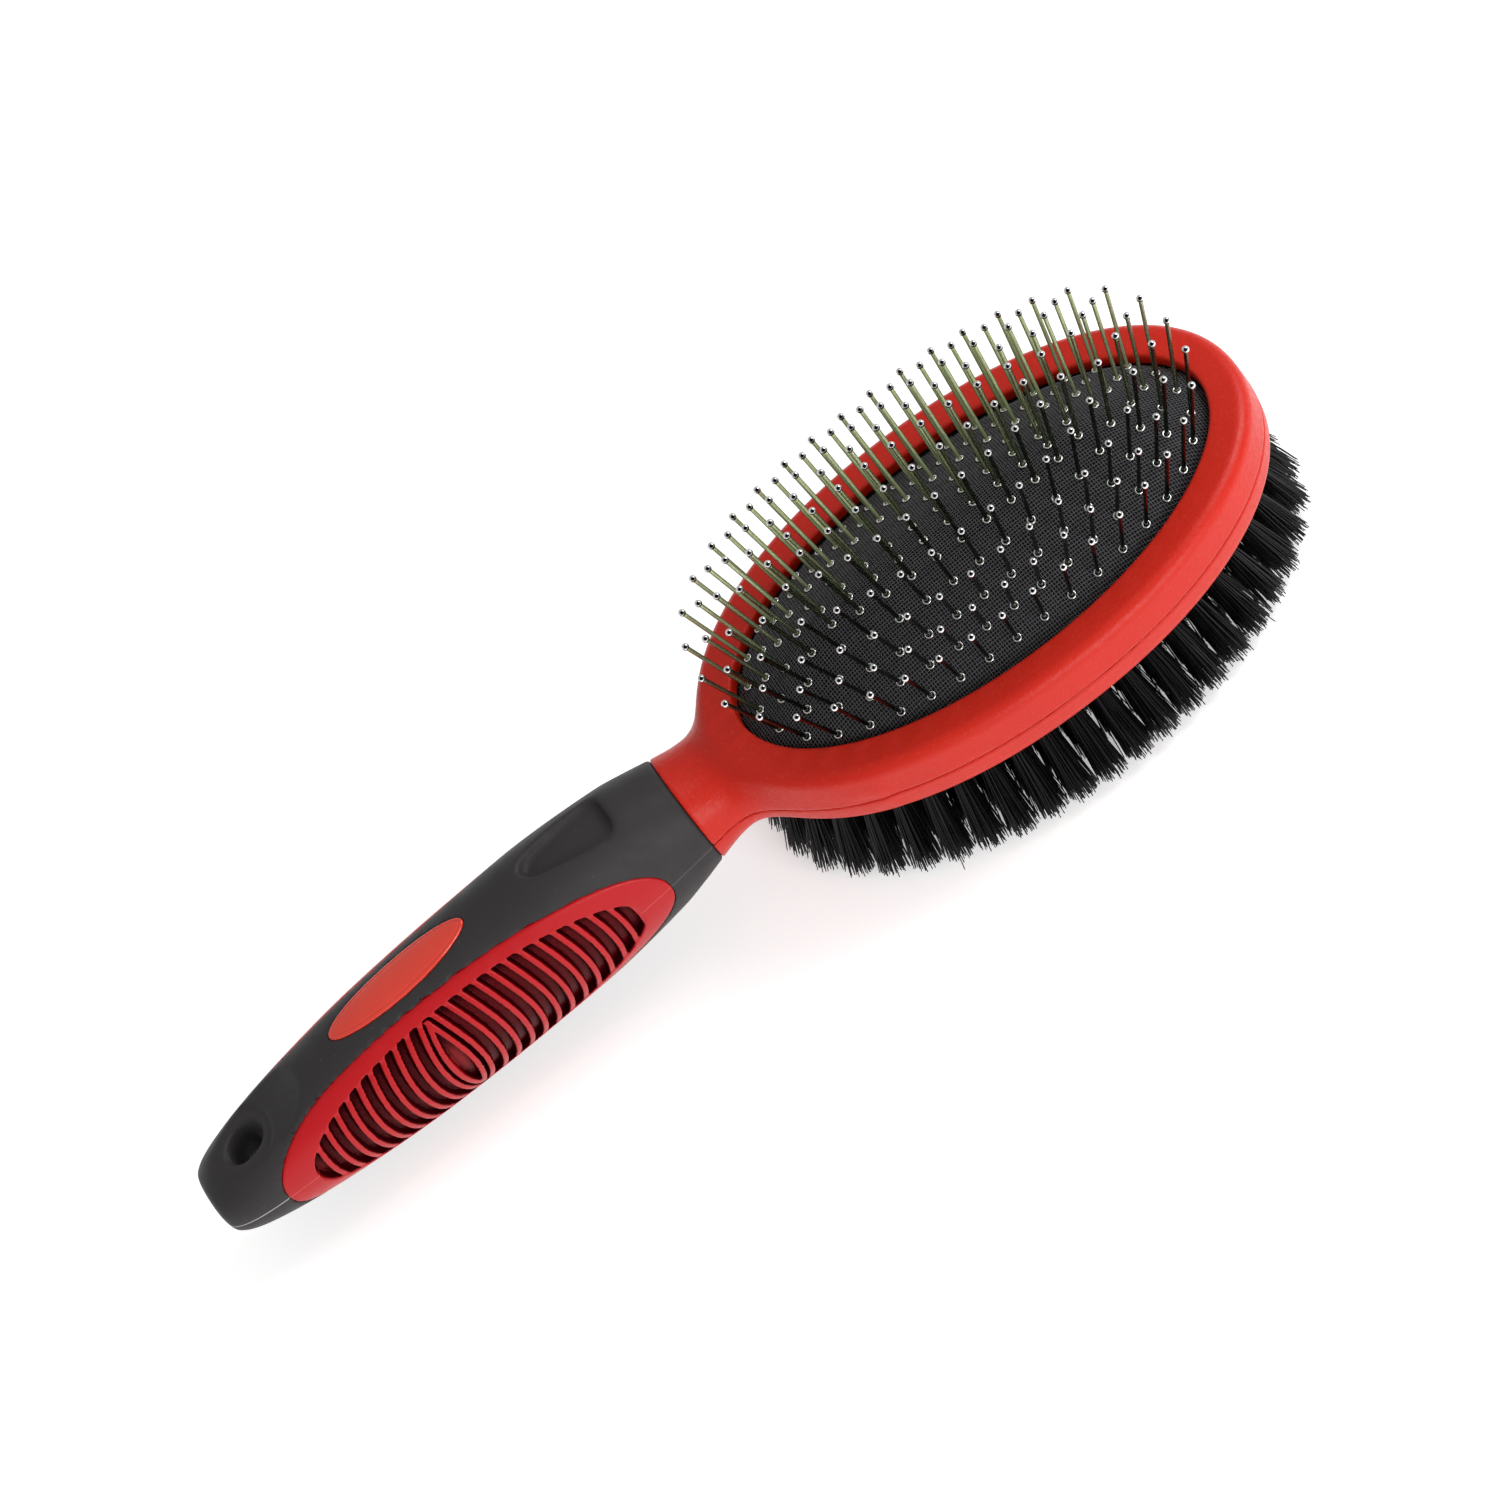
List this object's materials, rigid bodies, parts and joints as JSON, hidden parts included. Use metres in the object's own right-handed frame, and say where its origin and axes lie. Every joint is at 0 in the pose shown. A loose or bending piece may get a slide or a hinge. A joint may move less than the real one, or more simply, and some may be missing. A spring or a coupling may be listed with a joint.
{
  "type": "double-sided pin and bristle grooming brush",
  "caption": "Double-sided pet grooming brush: oval head with ball-tipped pins on a springy cushion, nylon bristle tufts behind, soft-grip handle with hang hole.",
  "frame": {"origin": "on the axis of the hang hole, at the centre line of the handle", "axes": "+X from the tail of the handle towards the head tip, +Z out of the pin side, +Y to the left of the pin side seen from the tail"},
  "size_m": [0.2383, 0.0702, 0.0642],
  "materials": {
    "red_shell": "satin with fine moulded grain",
    "core_plastic": "plain moulded",
    "grip_rubber": "soft-touch matte",
    "insert_rubber": "satin",
    "badge_gloss": "glossy",
    "cushion_rubber": "rubber with woven face",
    "foam": "open-cell foam",
    "pin_steel": "polished",
    "plate_plastic": "plain moulded",
    "bristle_nylon": "nylon filament",
    "anchor_wire": "drawn wire"
  },
  "bodies": {
    "brush_body": {"pin_side_shell": "red_shell", "bristle_side_shell": "red_shell", "handle_core": "core_plastic", "grip_sleeve": "grip_rubber", "grip_insert_left": "insert_rubber", "grip_insert_right": "insert_rubber", "badge": "badge_gloss", "cushion_membrane": "cushion_rubber", "cushion_ring": "core_plastic", "foam_pad": "foam", "cushion_base_plate": "core_plastic", "bristle_plate": "plate_plastic", "tuft_ring_outer": "bristle_nylon", "tuft_ring_second": "bristle_nylon", "tuft_ring_third": "bristle_nylon", "tuft_ring_inner": "bristle_nylon", "tuft_row_centre": "bristle_nylon", "tuft_anchors": "anchor_wire"},
    "pins_centre": {"pin_row_centre": "pin_steel"},
    "pins_inner": {"pin_ring_inner": "pin_steel"},
    "pins_fourth": {"pin_ring_fourth": "pin_steel"},
    "pins_third": {"pin_ring_third": "pin_steel"},
    "pins_second": {"pin_ring_second": "pin_steel"},
    "pins_outer": {"pin_ring_outer": "pin_steel"}
  },
  "joints": [
    {"name": "cushion_press", "type": "slide", "parent": "brush_body", "child": "pins_centre", "axis": [0, 0, -1], "range_m": [0, 0.004], "stiffness_N_per_m": 900, "deforming": ["cushion_membrane", "foam_pad"]},
    {"name": "pins_inner_press", "type": "slide", "parent": "brush_body", "child": "pins_inner", "axis": [0, 0, -1], "range_m": [0, 0.0038]},
    {"name": "pins_fourth_press", "type": "slide", "parent": "brush_body", "child": "pins_fourth", "axis": [0, 0, -1], "range_m": [0, 0.00319]},
    {"name": "pins_third_press", "type": "slide", "parent": "brush_body", "child": "pins_third", "axis": [0, 0, -1], "range_m": [0, 0.0024]},
    {"name": "pins_second_press", "type": "slide", "parent": "brush_body", "child": "pins_second", "axis": [0, 0, -1], "range_m": [0, 0.00163]},
    {"name": "pins_outer_press", "type": "slide", "parent": "brush_body", "child": "pins_outer", "axis": [0, 0, -1], "range_m": [0, 0.000798]}
  ],
  "couplings": [
    {"joint": "pins_inner_press", "follows": "cushion_press", "ratio": 0.948},
    {"joint": "pins_fourth_press", "follows": "cushion_press", "ratio": 0.794},
    {"joint": "pins_third_press", "follows": "cushion_press", "ratio": 0.597},
    {"joint": "pins_second_press", "follows": "cushion_press", "ratio": 0.404},
    {"joint": "pins_outer_press", "follows": "cushion_press", "ratio": 0.197}
  ]
}
